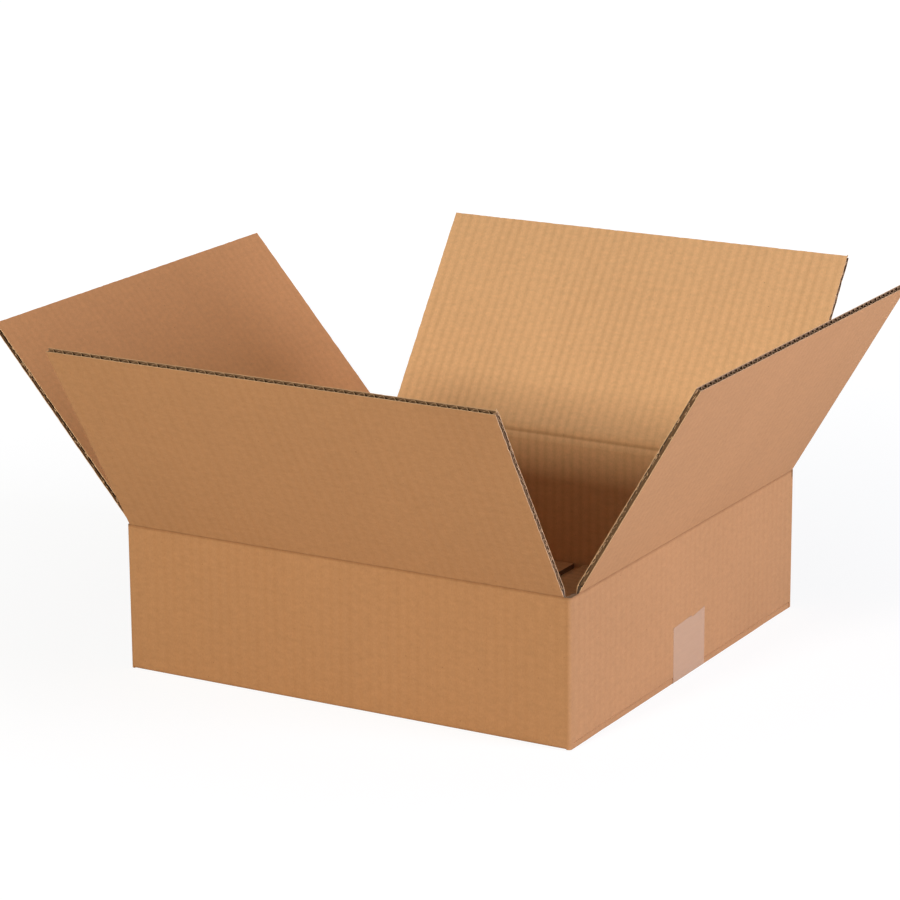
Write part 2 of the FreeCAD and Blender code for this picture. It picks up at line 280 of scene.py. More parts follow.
class Board:
    """Gathers patches of board in one mesh, with its flat-blank UV map and finishes."""

    def __init__(self, name, finishes, along="edge", across="edge"):
        """finishes lists the materials; along and across name those of the cut edges."""
        self.name = name
        self.finishes = finishes
        self.along = along
        self.across = across
        self.points = []
        self.quads = []

    def add_quad(self, corners, places, finish):
        first = len(self.points)
        self.points.extend(corners)
        self.quads.append((range(first, first + 4), places, self.finishes.index(finish)))

    def patch(self, rows, faces=("outside", "inside"), rims=""):
        """Rows of (outer point, inner point, place on the blank); rims are letters of l, r, b and t."""
        for low, high in zip(rows, rows[1:]):
            for ring in zip(low, low[1:], high[1:], high):
                outer, inner, places = zip(*ring)
                self.add_quad(outer, places, faces[0])
                self.add_quad(inner[::-1], places[::-1], faces[1])
        for rim in rims:
            self.add_rim(rows, rim)

    def add_rim(self, rows, rim):
        """Close one side of a patch. Its U runs along the edge and its V through the board."""
        if rim in "lr":
            line, axis, finish = [row[0 if rim == "l" else -1] for row in rows], 1, self.along
        else:
            line, axis, finish = rows[0 if rim == "b" else -1], 0, self.across
        for (outer, inner, place), (next_outer, next_inner, next_place) in zip(line, line[1:]):
            near, far = place[axis], next_place[axis]
            corners = [inner, outer, next_outer, next_inner]
            spots = [(near, 0), (near, 1), (far, 1), (far, 0)]
            if rim in "rb":
                corners, spots = corners[::-1], spots[::-1]
            self.add_quad(corners, spots, finish)

    def build(self, smooth=35):
        """The finished object, merged, with smooth bends and sharp cut edges."""
        mesh = bpy.data.meshes.new(self.name)
        mesh.from_pydata(self.points, [], [list(q[0]) for q in self.quads])
        layer = mesh.uv_layers.new(name="sheet")
        flat = [value for q in self.quads for spot in q[1] for value in spot]
        layer.data.foreach_set("uv", flat)
        mesh.polygons.foreach_set("material_index", [q[2] for q in self.quads])
        for finish in self.finishes:
            mesh.materials.append(material(finish))
        work = bmesh.new()
        work.from_mesh(mesh)
        bmesh.ops.remove_doubles(work, verts=work.verts, dist=MERGE)
        bmesh.ops.dissolve_degenerate(work, edges=work.edges, dist=SAME)
        work.to_mesh(mesh)
        work.free()
        mesh.polygons.foreach_set("use_smooth", [True] * len(mesh.polygons))
        mesh.set_sharp_from_angle(angle=math.radians(smooth))
        piece = bpy.data.objects.new(self.name, mesh)
        bpy.context.scene.collection.objects.link(piece)
        return piece


def bow(start, corner, end, share):
    """A point on the smooth bend from start to end that leans towards corner."""
    return start.lerp(corner, share).lerp(corner.lerp(end, share), share)


def bottom_slot(side, sizes):
    """The gap beside a bottom flap: outer flaps reach to the corner bends."""
    return sizes.outer_slot if side in ("front", "back") else sizes.inner_slot


def wall_columns(side, sizes):
    """Places along a wall between its two corner bends, with those of its slots."""
    half = run_half(side)
    low, high = flap_span(side)
    slot = bottom_slot(side, sizes)
    slots = (low, high, slot - half, half - slot)
    return steps(sizes.radius - half, half - sizes.radius, WALL_COLUMN, slots)


def wall_spot(side, run, height, sizes, beyond=0):
    """A wall's outer and inner point and their place on the blank, with beyond added to its U."""
    limit = run_half(side) - sizes.board
    return (wall_point(side, run, 0, height),
            wall_point(side, max(-limit, min(limit, run)), -sizes.board, height),
            (wall_start(side) + run + beyond, sheet_top(sizes.board) - fold_height() + height))


def corner_spots(side, sizes, height):
    """The spots round the bend from this wall's end to the next wall."""
    half, radius = run_half(side), sizes.radius
    centre = wall_point(side, half - radius, -radius, height)
    inner, (u, v) = wall_spot(side, half - radius, height, sizes)[1:]
    outward, along = ALONG[side].cross(UP), ALONG[side]
    found = []
    for n in range(1, BEND_STEPS):
        turn = math.radians(90) * n / BEND_STEPS
        outer = centre + (outward * math.cos(turn) + along * math.sin(turn)) * radius
        found.append((outer, inner, (u + 2 * radius * n / BEND_STEPS, v)))
    return found


def add_walls(board, sizes):
    """The four walls between the folds, as one closed ring."""
    rows = []
    for height in steps(2 * sizes.board, fold_height() - sizes.arm, WALL_ROW):
        row = []
        for side in SIDES:
            row += [wall_spot(side, run, height, sizes) for run in wall_columns(side, sizes)]
            row += corner_spots(side, sizes, height)
        outer, inner, (u, v) = row[0]
        rows.append(row + [(outer, inner, (u + girth(), v))])
    board.patch(rows)


def add_corner_posts(board, sizes):
    """The ends of the four corners, above and below the walls, between the slots."""
    for side, following in zip(SIDES, SIDES[1:] + SIDES[:1]):
        beyond = girth() if following == SIDES[0] else 0
        for top in (True, False):
            if top:
                levels = steps(fold_height() - sizes.arm, fold_height(), POST_ROW)
                end, start = flap_span(side)[1], flap_span(following)[0]
            else:
                levels = steps(sizes.post_foot, 2 * sizes.board, POST_ROW)
                end = run_half(side) - bottom_slot(side, sizes)
                start = bottom_slot(following, sizes) - run_half(following)
            rows = []
            for height in levels:
                row = [wall_spot(side, run, height, sizes)
                       for run in wall_columns(side, sizes) if run >= end - SAME]
                row += corner_spots(side, sizes, height)
                row += [wall_spot(following, run, height, sizes, beyond)
                        for run in wall_columns(following, sizes) if run <= start + SAME]
                if height == (levels[-1] if top else levels[0]):
                    row = [(outer + UP * wobble(place[0], 1, sizes.ragged),
                            inner + UP * wobble(place[0], 2, sizes.ragged), place)
                           for outer, inner, place in row]
                rows.append(row)
            board.patch(rows, rims="lrt" if top else "lrb")


def add_bottom_flap(board, sizes, side):
    """A bottom flap with the bend that joins it to its wall."""
    is_outer = side in ("front", "back")
    thick = sizes.board
    radius, floor = (sizes.radius, 0) if is_outer else (sizes.inner_bend, thick)
    reach = flap_reach(side, thick)
    free_edge = -(thick + reach) if is_outer else -reach
    # The section from the wall down round the bend and in to the free edge
    section = [(0, 2 * thick)] + ([(0, radius + thick / 2), (0, radius)] if is_outer
                                  else [(0, thick + radius)])
    for n in range(1, BEND_STEPS + 1):
        turn = math.radians(90) * n / BEND_STEPS
        section.append((-radius + radius * math.cos(turn), floor + radius - radius * math.sin(turn)))
    section += [(out, floor) for out in steps(free_edge, -radius, BOTTOM_ROW)[::-1][1:]]
    end = run_half(side) - bottom_slot(side, sizes)
    runs = [run for run in wall_columns(side, sizes) if abs(run) <= end + SAME]
    rows = []
    v = sheet_top(thick) - fold_height() + 2 * thick
    for number, (out, height) in enumerate(section):
        if number:
            v -= math.dist(section[number - 1], (out, height))
        row = []
        for run in runs:
            u = wall_start(side) + run
            jag = wobble(u, 3, sizes.ragged) if number == len(section) - 1 else 0
            push = 0
            if run in (runs[0], runs[-1]) and number > FLARE_START:
                push = wobble(v, 4 + run, sizes.ragged)
                if is_outer:
                    widening = min(1, (number - FLARE_START) / FLARE_ROWS)
                    push += math.copysign(sizes.flare * widening, run)
            row.append((wall_point(side, run + push, out + jag, height),
                        wall_point(side, run + push, min(out, -thick) + jag, max(height, floor + thick)),
                        (u, v)))
        rows.append(row)
    board.patch(rows[::-1], rims="lrb")


def add_glue_tab(board, sizes):
    """The pressed tab of the maker's joint, glued inside the back wall at the left corner."""
    thick = sizes.board
    low, high = 2 * thick + sizes.tab_gap, fold_height() - sizes.arm - sizes.tab_gap
    rows = []
    for level in steps(0, 1, TAB_ROW):
        row = []
        for share in steps(0, 1, TAB_COLUMN):
            run = run_half("back") - thick - sizes.tab_width * (1 - share)
            cut = sizes.tab_bevel * (1 - share)
            height = low + cut + (high - low - 2 * cut) * level
            row.append((wall_point("back", run, -thick, height),
                        wall_point("back", run, -thick - sizes.tab_thick, height),
                        wall_spot("back", run, height, sizes)[2]))
        rows.append(row)
    board.patch(rows, rims="lrbt")


# Finishes

def new_material(name):
    """An empty material with its output, and its node tree."""
    made = bpy.data.materials.new(name)
    made.use_nodes = True
    tree = made.node_tree
    tree.nodes.clear()
    output = tree.nodes.new("ShaderNodeOutputMaterial")
    shader = tree.nodes.new("ShaderNodeBsdfPrincipled")
    tree.links.new(shader.outputs["BSDF"], output.inputs["Surface"])
    return made, tree, shader


def add_node(tree, kind, **settings):
    """A node with its settings; a key that names an input sets that input or links to it."""
    node = tree.nodes.new(kind)
    for key, value in settings.items():
        if hasattr(node, key):
            setattr(node, key, value)
            continue
        target = node.inputs[int(key[1:])] if key[0] == "i" and key[1:].isdigit() \
            else node.inputs[key.replace("_", " ")]
        if isinstance(value, bpy.types.NodeSocket):
            tree.links.new(value, target)
        else:
            target.default_value = value
    return node


def math_node(tree, operation, first, second=0.0, third=0.0):
    """The result of one sum."""
    return add_node(tree, "ShaderNodeMath", operation=operation,
                    i0=first, i1=second, i2=third).outputs[0]


def ranged(tree, value, start, end, low=0.0, high=1.0, kind="LINEAR"):
    """The value, moved from the range of start to end into that of low to high."""
    return add_node(tree, "ShaderNodeMapRange", interpolation_type=kind, Value=value, From_Min=start,
                    From_Max=end, To_Min=low, To_Max=high).outputs[0]


def mixed(tree, factor, first, second, blend="MIX"):
    """The first colour, with the second mixed in by the factor."""
    return add_node(tree, "ShaderNodeMix", data_type="RGBA", blend_type=blend, Factor=factor,
                    A=first, B=second).outputs["Result"]


def bumped(tree, height, strength, distance):
    """A normal that follows the relief of height."""
    return add_node(tree, "ShaderNodeBump", Height=height, Strength=strength,
                    Distance=distance).outputs[0]


def blank_place(tree):
    """The U and V of the flat blank, in metres."""
    place = add_node(tree, "ShaderNodeUVMap", uv_map="sheet").outputs["UV"]
    split = add_node(tree, "ShaderNodeSeparateXYZ", Vector=place)
    return place, split.outputs["X"], split.outputs["Y"]


def grain(tree, place, across, up, detail, offset=0.0):
    """Noise on the blank, with its size set across and along the flutes, from 0 to 1."""
    mapped = add_node(tree, "ShaderNodeMapping", Vector=place)
    mapped.inputs["Scale"].default_value = (across, up, 1)
    mapped.inputs["Location"].default_value = (offset, offset * 0.7, offset)
    return add_node(tree, "ShaderNodeTexNoise", Vector=mapped.outputs[0],
                    Scale=1.0, Detail=detail, Roughness=0.62).outputs["Fac"]


def tone(tree, colour, dark, light, factor):
    """The colour, from its dark share to its light share as factor goes from 0 to 1."""
    low = (*[c * dark for c in colour], 1)
    high = (*[min(1, c * light) for c in colour], 1)
    return mixed(tree, factor, low, high)


def crease_shade_mask(tree, v):
    """Mask of the painted shade along the crease: 1 along the top fold line, where the liner is creased,
    and 0 two millimetres away from it.
    """
    sizes = bpy.context.scene.carton_sizes
    away = math_node(tree, "ABSOLUTE", math_node(tree, "SUBTRACT", v, sheet_top(sizes.board)))
    return ranged(tree, away, 0.2 * MM, 2.0 * MM, 1.0, 0.0, "SMOOTHSTEP")


def kraft(name, colour, washboard, line_and_shade_tone):
    """A kraft liner: long fibres, cloudy mottling, specks, darker lines along the flutes that are partly
    glue lines and partly painted shade of the washboard, and painted shade along the top fold's crease.

    washboard is the height of its waves, and line_and_shade_tone the darkest tone along a flute, partly
    glue line and partly painted shade.
    """
    made, tree, shader = new_material(name)
    pitch = bpy.context.scene.carton_sizes.pitch
    place, u, v = blank_place(tree)
    fibre = grain(tree, place, 950, 480, 4)
    cloud = grain(tree, place, 130, 240, 3, 3.1)
    drift = grain(tree, place, 9, 6, 2, 7.7)
    drift_along = math_node(tree, "MULTIPLY", grain(tree, place, 8, 14, 1, 1.9), 1.6 * MM)
    turns = math_node(tree, "MULTIPLY", math_node(tree, "ADD", u, drift_along), math.tau / pitch)
    wave = math_node(tree, "SINE", turns)
    ridge = math_node(tree, "POWER", math_node(tree, "MULTIPLY_ADD", wave, 0.5, 0.5), 1.6)
    mottle = math_node(tree, "MULTIPLY_ADD", cloud, 0.36, math_node(tree, "MULTIPLY", fibre, 0.46))
    mottle = math_node(tree, "MULTIPLY_ADD", drift, 0.18, mottle)
    shade = tone(tree, colour, 0.86, 1.12, ranged(tree, mottle, 0.32, 0.68))
    # Darker lines along the flutes: partly the glue lines, partly painted shade of the washboard's waves
    strength = math_node(tree, "MULTIPLY", ridge, grain(tree, place, 30, 9, 2, 5.3))
    shade = mixed(tree, strength, shade, (line_and_shade_tone, line_and_shade_tone * 0.97, line_and_shade_tone * 0.93, 1), "MULTIPLY")
    speck = ranged(tree, grain(tree, place, 620, 620, 1, 11.3), 0.78, 0.82)
    shade = mixed(tree, speck, shade, (0.55, 0.5, 0.45, 1), "MULTIPLY")
    # Painted shade: the liner is darkened along the top fold's crease
    shade = mixed(tree, crease_shade_mask(tree, v), shade, (0.76, 0.71, 0.66, 1), "MULTIPLY")
    tree.links.new(shade, shader.inputs["Base Color"])
    shader.inputs["Roughness"].default_value = 0.82
    shader.inputs["Specular IOR Level"].default_value = 0.28
    relief = math_node(tree, "MULTIPLY_ADD", wave, washboard,
                       math_node(tree, "MULTIPLY", fibre, 0.05 * MM))
    relief = math_node(tree, "MULTIPLY_ADD", cloud, 0.06 * MM, relief)
    tree.links.new(bumped(tree, relief, 1.0, 1.0), shader.inputs["Normal"])
    return made


def cut_across(name, colours):
    """The board cut across its flutes: two liners, the waving sheet, and painted shade in the hollows
    between them.
    """
    made, tree, shader = new_material(name)
    sizes = bpy.context.scene.carton_sizes
    place, along, through = blank_place(tree)
    uneven = grain(tree, place, 300, 2, 2, 2.2)
    turns = math_node(tree, "MULTIPLY", along, math.tau / sizes.pitch)
    centre = math_node(tree, "MULTIPLY_ADD", math_node(tree, "SINE", turns), 0.38, 0.5)
    centre = math_node(tree, "MULTIPLY_ADD", math_node(tree, "SUBTRACT", uneven, 0.5), 0.12, centre)
    from_sheet = math_node(tree, "ABSOLUTE", math_node(tree, "SUBTRACT", through, centre))
    on_sheet = math_node(tree, "LESS_THAN", from_sheet, 0.085)
    from_middle = math_node(tree, "ABSOLUTE", math_node(tree, "SUBTRACT", through, 0.5))
    on_liner = math_node(tree, "GREATER_THAN", from_middle, 0.41)
    paper = math_node(tree, "MAXIMUM", on_sheet, on_liner)
    lit = tone(tree, colours.edge, 0.8, 1.15, uneven)
    # Painted shade: the hollows between the liners and the sheet get the dark hollow colour
    tree.links.new(mixed(tree, paper, (*colours.hollow, 1), lit), shader.inputs["Base Color"])
    shader.inputs["Roughness"].default_value = 0.9
    return made


def cut_along(name, colours):
    """The board cut along its flutes: liners with painted shade in the torn hollow between them."""
    made, tree, shader = new_material(name)
    place, _, through = blank_place(tree)
    torn = grain(tree, place, 260, 3, 4, 4.4)
    width = math_node(tree, "MULTIPLY_ADD", torn, 0.55, 0.08)
    from_middle = math_node(tree, "ABSOLUTE", math_node(tree, "SUBTRACT", through, 0.5))
    hollow = math_node(tree, "LESS_THAN", from_middle, width)
    lit = tone(tree, colours.edge, 0.75, 1.2, grain(tree, place, 900, 8, 2, 6.1))
    # Painted shade: the torn hollow between the liners gets the dark hollow colour
    tree.links.new(mixed(tree, hollow, lit, (*colours.hollow, 1)), shader.inputs["Base Color"])
    shader.inputs["Roughness"].default_value = 0.9
    return made


def plain_paper(name, colour):
    """Bare paper of the fluted sheet and of the liners' hidden faces."""
    made, tree, shader = new_material(name)
    place = add_node(tree, "ShaderNodeTexCoord").outputs["Object"]
    mottle = add_node(tree, "ShaderNodeTexNoise", Vector=place, Scale=700.0, Detail=3.0)
    tree.links.new(tone(tree, colour, 0.8, 1.2, mottle.outputs["Fac"]), shader.inputs["Base Color"])
    shader.inputs["Roughness"].default_value = 0.92
    tree.links.new(bumped(tree, mottle.outputs["Fac"], 0.4, 0.1 * MM), shader.inputs["Normal"])
    return made


def clear_tape(name, colour):
    """Milky clear film with fine wrinkles and pressed lines where it grips the board."""
    made, tree, shader = new_material(name)
    place = add_node(tree, "ShaderNodeTexCoord").outputs["Object"]
    mapped = add_node(tree, "ShaderNodeMapping", Vector=place)
    mapped.inputs["Scale"].default_value = (60, 90, 420)
    grip = add_node(tree, "ShaderNodeTexNoise", Vector=mapped.outputs[0], Scale=1.0, Detail=4.0)
    tree.links.new(tone(tree, colour, 0.93, 1.06, grip.outputs["Fac"]), shader.inputs["Base Color"])
    shader.inputs["Roughness"].default_value = 0.34
    shader.inputs["Specular IOR Level"].default_value = 0.3
    shader.inputs["Alpha"].default_value = 0.42
    tree.links.new(bumped(tree, grip.outputs["Fac"], 0.25, 0.3 * MM), shader.inputs["Normal"])
    return made


def material(name):
    """The finish of that name, made when it is first asked for."""
    if name in bpy.data.materials:
        return bpy.data.materials[name]
    colours = bpy.context.scene.carton_colours
    makers = {
        "outside": lambda: kraft(name, colours.outside, 0.015 * MM, 0.96),
        "inside": lambda: kraft(name, colours.inside, 0.030 * MM, 0.84),
        # The left flap's inner liner: the inner liner darkened as painted shade, with fainter flute lines
        "inside_painted_shade": lambda: kraft(name, colours.inside_painted_shade, 0.008 * MM, 0.96),
        "cut_across": lambda: cut_across(name, colours),
        "cut_along": lambda: cut_along(name, colours),
        "edge": lambda: plain_paper(name, colours.edge),
        # The fluted sheet's paper, darkened as painted shade of the channel between the liners
        "fluting_shaded": lambda: plain_paper(name, colours.fluting_shaded),
        "clear_tape": lambda: clear_tape(name, colours.tape),
    }
    return makers[name]()


# Fluted sheet, by geometry nodes

def fluting_tree():
    """The waving sheet between the liners: a grid pushed up and down along a sine."""
    tree = bpy.data.node_groups.new("Fluting", "GeometryNodeTree")
    inputs = {"Width": "Float", "Length": "Float", "Pitch": "Float", "Depth": "Float",
              "Unevenness": "Float", "Columns": "Int", "Rows": "Int", "Paper": "Material"}
    for name, kind in inputs.items():
        tree.interface.new_socket(name=name, in_out="INPUT", socket_type=f"NodeSocket{kind}")
    tree.interface.new_socket(name="Geometry", in_out="OUTPUT", socket_type="NodeSocketGeometry")
    given = tree.nodes.new("NodeGroupInput").outputs
    grid = add_node(tree, "GeometryNodeMeshGrid", i0=given["Width"], i1=given["Length"],
                    i2=given["Columns"], i3=given["Rows"])
    spot = add_node(tree, "GeometryNodeInputPosition").outputs[0]
    split = add_node(tree, "ShaderNodeSeparateXYZ", Vector=spot)
    drift = add_node(tree, "ShaderNodeTexNoise", Vector=spot, Scale=60.0, Detail=1.0)
    shifted = math_node(tree, "MULTIPLY_ADD", math_node(tree, "SUBTRACT", drift.outputs["Fac"], 0.5),
                        given["Unevenness"], split.outputs["X"])
    turns = math_node(tree, "MULTIPLY", math_node(tree, "DIVIDE", shifted, given["Pitch"]), math.tau)
    lift = math_node(tree, "MULTIPLY", math_node(tree, "SINE", turns),
                     math_node(tree, "MULTIPLY", given["Depth"], 0.5))
    offset = add_node(tree, "ShaderNodeCombineXYZ", Z=lift)
    waved = add_node(tree, "GeometryNodeSetPosition", Geometry=grid.outputs["Mesh"],
                     Offset=offset.outputs[0])
    real = add_node(tree, "GeometryNodeRealizeInstances", Geometry=waved.outputs[0])
    coated = add_node(tree, "GeometryNodeSetMaterial", Geometry=real.outputs[0], Material=given["Paper"])
    output = tree.nodes.new("NodeGroupOutput")
    tree.links.new(coated.outputs[0], output.inputs[0])
    return tree


def make_fluting(name, width, length, sizes, place):
    """One fluted sheet as a plain mesh, thickened and moved to its place in the board."""
    tree = bpy.data.node_groups.get("Fluting") or fluting_tree()
    holder = bpy.data.objects.new(name + "_maker", bpy.data.meshes.new(name + "_maker"))
    bpy.context.scene.collection.objects.link(holder)
    maker = holder.modifiers.new("Fluting", "NODES")
    maker.node_group = tree
    depth = sizes.board - 2 * sizes.liner - sizes.medium
    columns = int(width / sizes.pitch * FLUTE_POINTS) + 1
    wanted = {"Width": width, "Length": length, "Pitch": sizes.pitch, "Depth": depth,
              "Unevenness": sizes.flute_wander, "Columns": columns, "Rows": FLUTE_ROWS,
              "Paper": material("fluting_shaded")}
    for item in tree.interface.items_tree:
        if item.in_out == "INPUT":
            maker[item.identifier] = wanted[item.name]
    thick = holder.modifiers.new("Paper", "SOLIDIFY")
    thick.thickness = sizes.medium
    thick.offset = 0
    bpy.context.view_layer.update()
    evaluated = holder.evaluated_get(bpy.context.evaluated_depsgraph_get())
    mesh = bpy.data.meshes.new_from_object(evaluated)
    mesh.materials.clear()
    mesh.materials.append(material("fluting_shaded"))
    mesh.materials.append(material("edge"))
    for face in mesh.polygons:
        # The far cut ends face along the flutes and show fresh paper
        face.material_index = 1 if face.normal.y > 0.9 else 0
    mesh.transform(place)
    mesh.name = name
    bpy.data.objects.remove(holder)
    mesh.polygons.foreach_set("use_smooth", [True] * len(mesh.polygons))
    mesh.set_sharp_from_angle(angle=math.radians(50))
    piece = bpy.data.objects.new(name, mesh)
    bpy.context.scene.collection.objects.link(piece)
    return piece


# Top flaps and folds

def flap_point(side, run, inward, length):
    """A point of a top flap by its place along the fold, into the board, and from the fold line."""
    angle = lean(side)
    out = length * math.sin(angle) - inward * math.cos(angle)
    height = fold_height() + length * math.cos(angle) + inward * math.sin(angle)
    return wall_point(side, run, out, height)


def add_liner(board, sizes, side, depth, faces):
    """One liner of a top flap, depth below the flap's outer face, with uneven cut edges."""
    low, high = flap_span(side)
    reach = flap_reach(side, sizes.board)
    lengths = steps(sizes.arm, reach, LINER_ROW)
    runs = steps(low, high, LINER_COLUMN)
    seed = side_seed(side) + depth * DEPTH_SEED
    rows = []
    for j, length in enumerate(lengths):
        row = []
        for i, run in enumerate(runs):
            push = wobble(length, seed + i, sizes.ragged) if i in (0, len(runs) - 1) else 0
            tug = -abs(wobble(run, seed + 3, sizes.ragged)) if j == len(lengths) - 1 else 0
            row.append((flap_point(side, run + push, depth, length + tug),
                        flap_point(side, run + push, depth + sizes.liner, length + tug),
                        (wall_start(side) + run, sheet_top(sizes.board) + length)))
        rows.append(row)
    board.patch(rows, faces=faces, rims="lrbt")


def add_crumbs(board, sizes, side):
    """Torn bits of paper left in the open channel of both slot-cut sides of a top flap."""
    chance = random.Random(SIDES.index(side))
    low, high = flap_span(side)
    reach = flap_reach(side, sizes.board)
    for run, way in ((low, 1), (high, -1)):
        for _ in range(sizes.crumbs):
            length = chance.uniform(sizes.arm, reach)
            depth = chance.triangular(sizes.liner, sizes.board - 2 * sizes.liner, sizes.board)
            long, wide = chance.uniform(0.4 * MM, sizes.crumb_long), chance.uniform(0.2, 0.5) * MM
            skew = chance.uniform(-0.3, 0.3) * MM
            inset = run + way * chance.uniform(0.0, 0.6) * MM
            ring = [[(inset - wide, length), (inset + wide, length + skew)],
                    [(inset - wide, length + long), (inset + wide, length + long - skew)]]
            board.patch([[(flap_point(side, a, depth, b), flap_point(side, a, depth + sizes.medium, b),
                           (a, b)) for a, b in pair] for pair in ring],
                        faces=("edge", "edge"), rims="lrbt")


def side_seed(side):
    """A number of its own for each side, so that no two edges are alike."""
    return 10.0 * (SIDES.index(side) + 1)


def make_flap(side):
    """A top flap: two liners and the fluted sheet between them."""
    sizes = bpy.context.scene.carton_sizes
    # The left flap's inner liner is a darker, redder copy of the inner liner, as painted shade, and its
    # flutes hardly show
    inner_face = "inside_painted_shade" if side == "left" else "inside"
    board = Board(f"{side}_flap_liners", ["outside", inner_face, "fluting_shaded", "edge"])
    add_liner(board, sizes, side, 0, ("outside", "fluting_shaded"))
    add_liner(board, sizes, side, sizes.board - sizes.liner, ("fluting_shaded", inner_face))
    add_crumbs(board, sizes, side)
    liners = board.build()
    low, high = flap_span(side)
    reach = flap_reach(side, sizes.board)
    length = reach - sizes.arm - sizes.flute_inset
    angle = lean(side)
    outward = ALONG[side].cross(UP)
    upward = UP * math.cos(angle) + outward * math.sin(angle)
    through = ALONG[side].cross(upward)
    middle = flap_point(side, (low + high) / 2, sizes.board / 2, sizes.arm + length / 2)
    place = Matrix((ALONG[side], upward, through)).transposed().to_4x4()
    place.translation = middle
    flutes = make_fluting(f"{side}_flap_flutes", high - low - 2 * sizes.flute_inset, length, sizes, place)
    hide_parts(f"{side}_flap")
    for piece in (liners, flutes):
        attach(piece, f"{side}_flap")


def fold_section(sizes, angle):
    """A top fold's section, as (place along the sheet, outer point, inner point) of out and up."""
    arm, zone = sizes.arm, sizes.fold_zone
    mitre = sizes.board * math.tan(angle / 2)
    stretch = (arm + mitre) / arm
    lower, upper = Vector((0, -1)), Vector((math.sin(angle), math.cos(angle)))
    inward = Vector((-math.cos(angle / 2), math.sin(angle / 2)))
    outer_fold, inner_fold = Vector((0, 0)), Vector((-sizes.board, mitre))
    arms = [zone + (arm - zone) * share for share in (0.0, 0.5, 1.0)]
    section = [(-reach, outer_fold + lower * reach, inner_fold + lower * reach * stretch)
               for reach in reversed(arms)]
    for n in range(1, FOLD_STEPS):
        share = n / FOLD_STEPS
        at = (2 * share - 1) * zone
        outer = bow(outer_fold + lower * zone, outer_fold, outer_fold + upper * zone, share)
        inner = bow(inner_fold + lower * zone * stretch, inner_fold,
                    inner_fold + upper * zone * stretch, share)
        depth = sizes.score * math.exp(-(at / sizes.groove) ** 2)
        section.append((at, outer + inward * depth, inner))
    section += [(reach, outer_fold + upper * reach, inner_fold + upper * reach * stretch)
                for reach in arms]
    # The board is crushed thin along the fold, which leaves room for the neighbour's end
    return [(at, outer, inner.lerp(outer, sizes.crush * math.exp(-(at / sizes.crush_width) ** 2)))
            for at, outer, inner in section]


def make_fold(side):
    """The bent strip of crushed board between a wall and its top flap, with its scored groove."""
    sizes = bpy.context.scene.carton_sizes
    angle = lean(side)
    low, high = flap_span(side)
    rows = []
    for at, outer, inner in fold_section(sizes, angle):
        row = []
        for run in steps(low, high, FOLD_COLUMN):
            sag = -abs(wobble(run, side_seed(side), sizes.fold_sag)) * (1 - abs(at) / sizes.arm)
            row.append((wall_point(side, run, outer.x, fold_height() + outer.y + sag),
                        wall_point(side, run, inner.x, fold_height() + inner.y + sag),
                        (wall_start(side) + run, sheet_top(sizes.board) + at)))
        rows.append(row)
    board = Board(f"{side}_fold_strip", ["outside", "inside", "cut_along"], "cut_along", "cut_along")
    board.patch(rows, rims="lrbt")
    strip = board.build(smooth=60)
    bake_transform(strip)
    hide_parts(f"{side}_fold")


def torn_end(sizes, left_over):
    """How far the tape's torn end drops, at a share of its width from its high corner."""
    drop = sizes.tape_slant * left_over
    if left_over < sizes.tape_step_share:
        drop += sizes.tape_step * left_over / sizes.tape_step_share
    return drop


class CARTON_OT_body(bpy.types.Operator):
    """Build the walls, the corner ends, the bottom flaps and the glued tab."""
    bl_idname = "carton.body"
    bl_label = "Walls and Bottom"

    def execute(self, context):
        sizes = context.scene.carton_sizes
        board = Board("carton_board", ["outside", "inside", "fluting_shaded"], "outside", "fluting_shaded")
        add_walls(board, sizes)
        add_corner_posts(board, sizes)
        for side in SIDES:
            add_bottom_flap(board, sizes, side)
        piece = board.build()
        tab = Board("maker_joint_tab", ["inside", "outside", "cut_across", "edge"], across="cut_across")
        add_glue_tab(tab, sizes)
        tab_piece = tab.build()
        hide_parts("box_body")
        for made in (piece, tab_piece):
            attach(made, "carton")
        return {"FINISHED"}


class CARTON_OT_flaps(bpy.types.Operator):
    """Build the four top flaps with their open flutes."""
    bl_idname = "carton.flaps"
    bl_label = "Top Flaps"

    def execute(self, context):
        for side in SIDES:
            make_flap(side)
        return {"FINISHED"}


class CARTON_OT_folds(bpy.types.Operator):
    """Build the scored fold strips that join the flaps to the walls."""
    bl_idname = "carton.folds"
    bl_label = "Fold Strips"

    def execute(self, context):
        for side in SIDES:
            make_fold(side)
        return {"FINISHED"}


class CARTON_OT_tape(bpy.types.Operator):
    """Lay the clear tape under the bottom and up two walls, with its toothed ends."""
    bl_idname = "carton.tape"
    bl_label = "Clear Tape"

    def execute(self, context):
        sizes = context.scene.carton_sizes
        low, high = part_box("bottom_tape")
        face = high.x
        slot = sizes.outer_slot - sizes.flare
        rise = [(face, slot), (face, high.z * 0.55), (face, high.z)]
        path = [(-x, z) for x, z in reversed(rise)]
        path += [(x, 0) for x in steps(slot - face, face - slot, TAPE_ROW)]
        path += rise
        rows = []
        length = 0
        for n, (x, z) in enumerate(path):
            if n:
                length += math.dist(path[n - 1], (x, z))
            on_wall = 1 if x == face else -1 if x == -face else 0
            # The film lies on the board, just clear of it, on the walls and underneath
            away = Vector((on_wall, 0, 0 if on_wall else -1)) * sizes.tape_film
            row = []
            for m, y in enumerate(steps(low.y, high.y, TAPE_COLUMN)):
                drop = 0
                if n in (0, len(path) - 1):
                    drop = torn_end(sizes, 1 - (y - low.y) / (high.y - low.y))
                    drop += sizes.tape_teeth * (m % 2) + abs(wobble(y, 8 + x, 0.3 * MM))
                spot = Vector((x, y, z - drop))
                row.append((spot + away, spot + away * 0.2, (length, y)))
            rows.append(row)
        board = Board("tape_strip", ["clear_tape"], "clear_tape", "clear_tape")
        board.patch(rows, faces=("clear_tape", "clear_tape"), rims="lrbt")
        piece = board.build()
        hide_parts("bottom_tape")
        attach(piece, "carton")
        return {"FINISHED"}


